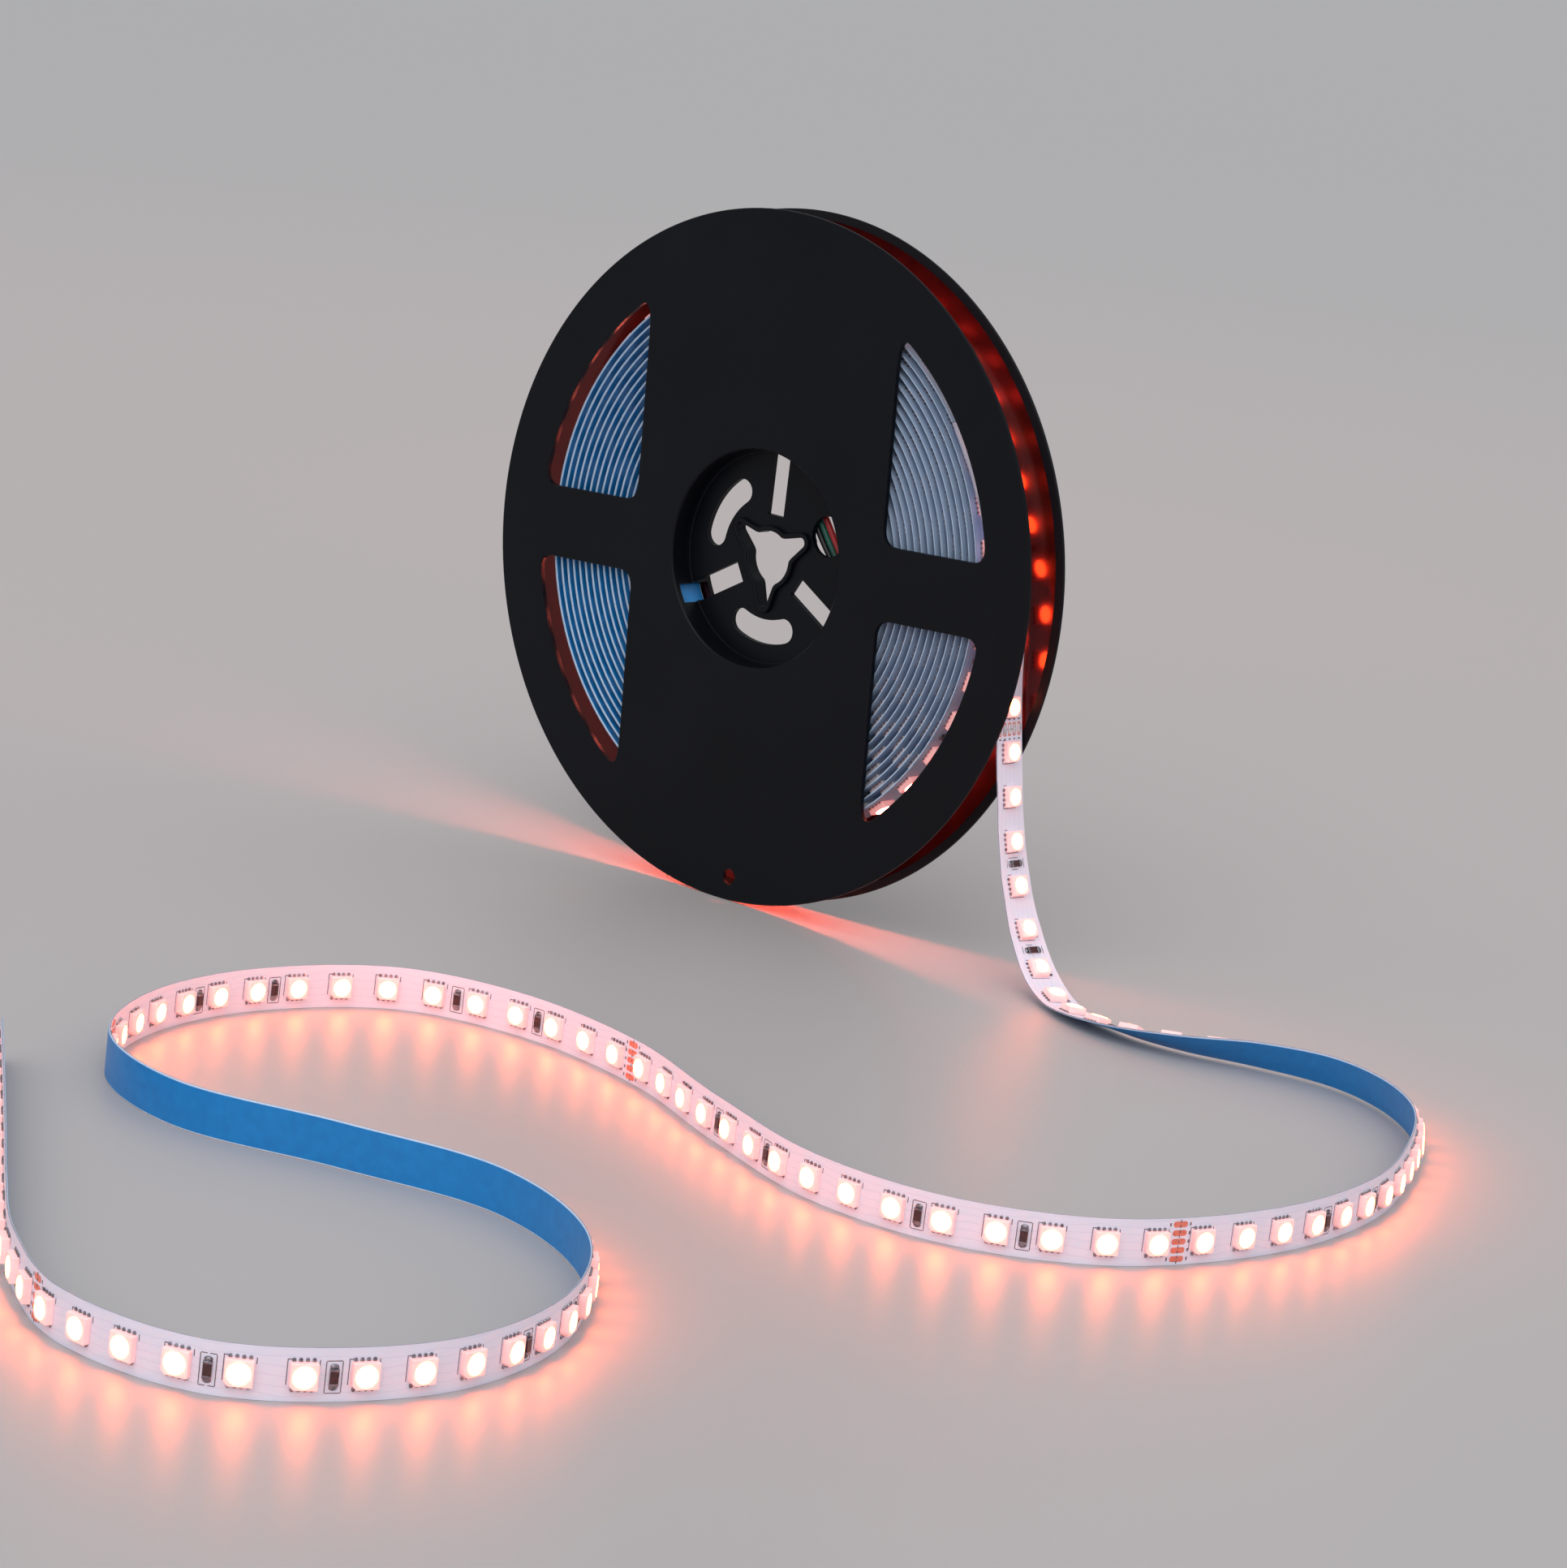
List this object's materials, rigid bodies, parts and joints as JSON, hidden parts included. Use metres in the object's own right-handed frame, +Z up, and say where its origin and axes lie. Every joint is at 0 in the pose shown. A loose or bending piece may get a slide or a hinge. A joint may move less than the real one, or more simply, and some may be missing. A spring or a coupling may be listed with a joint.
{
  "type": "led strip light reel",
  "caption": "Flat black reel with windowed flanges and a recessed hub, wound with LED strip light whose loose end hangs off and lies in curves on the floor.",
  "frame": {"origin": "on the floor below the middle of the reel", "axes": "+Z up, +Y along the reel's axis from the front flange to the rear flange, +X to the right of a viewer who faces the front flange"},
  "size_m": [0.3523, 0.3909, 0.1778],
  "materials": {
    "reel_plastic": "moulded black polystyrene, slightly glossy",
    "strip_board": "white coated flexible circuit",
    "release_liner": "blue release film, satin",
    "black_insulation": "satin",
    "green_insulation": "satin",
    "red_insulation": "satin",
    "white_insulation": "satin",
    "blue_insulation": "satin"
  },
  "bodies": {
    "root": {"front_half": "reel_plastic", "rear_half": "reel_plastic", "strip_roll": "strip_board", "inner_end_strip": "strip_board", "inner_end_liner": "release_liner", "lead_black": "black_insulation", "lead_green": "green_insulation", "lead_red": "red_insulation", "lead_white": "white_insulation", "lead_blue": "blue_insulation", "tail_strip": "strip_board", "tail_liner": "release_liner"}
  },
  "joints": []
}
